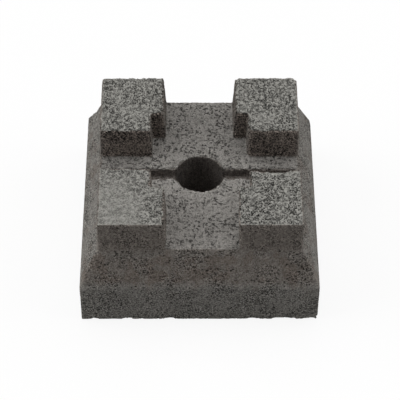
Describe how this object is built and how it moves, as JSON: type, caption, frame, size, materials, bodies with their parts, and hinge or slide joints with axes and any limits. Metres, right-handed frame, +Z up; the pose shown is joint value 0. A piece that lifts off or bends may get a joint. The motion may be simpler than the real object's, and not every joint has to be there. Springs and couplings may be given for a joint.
{
  "type": "deck pier block",
  "caption": "Square concrete pier block with sloped shoulders, corner lugs that seat a beam, joist or post, and a cored centre hole with a narrow groove.",
  "frame": {"origin": "centre of the square foot's underside, on the ground plane", "axes": "+Z up through the cored hole; the wide beam channel runs along Y and the narrow joist channel along X; the corner knocked round is at +X +Y"},
  "size_m": [0.305, 0.305, 0.1595],
  "materials": {
    "concrete": "raw dry-cast concrete, open grained on top, close and matt on the moulded sides"
  },
  "bodies": {
    "root": {"pier_block": "concrete"}
  },
  "joints": []
}
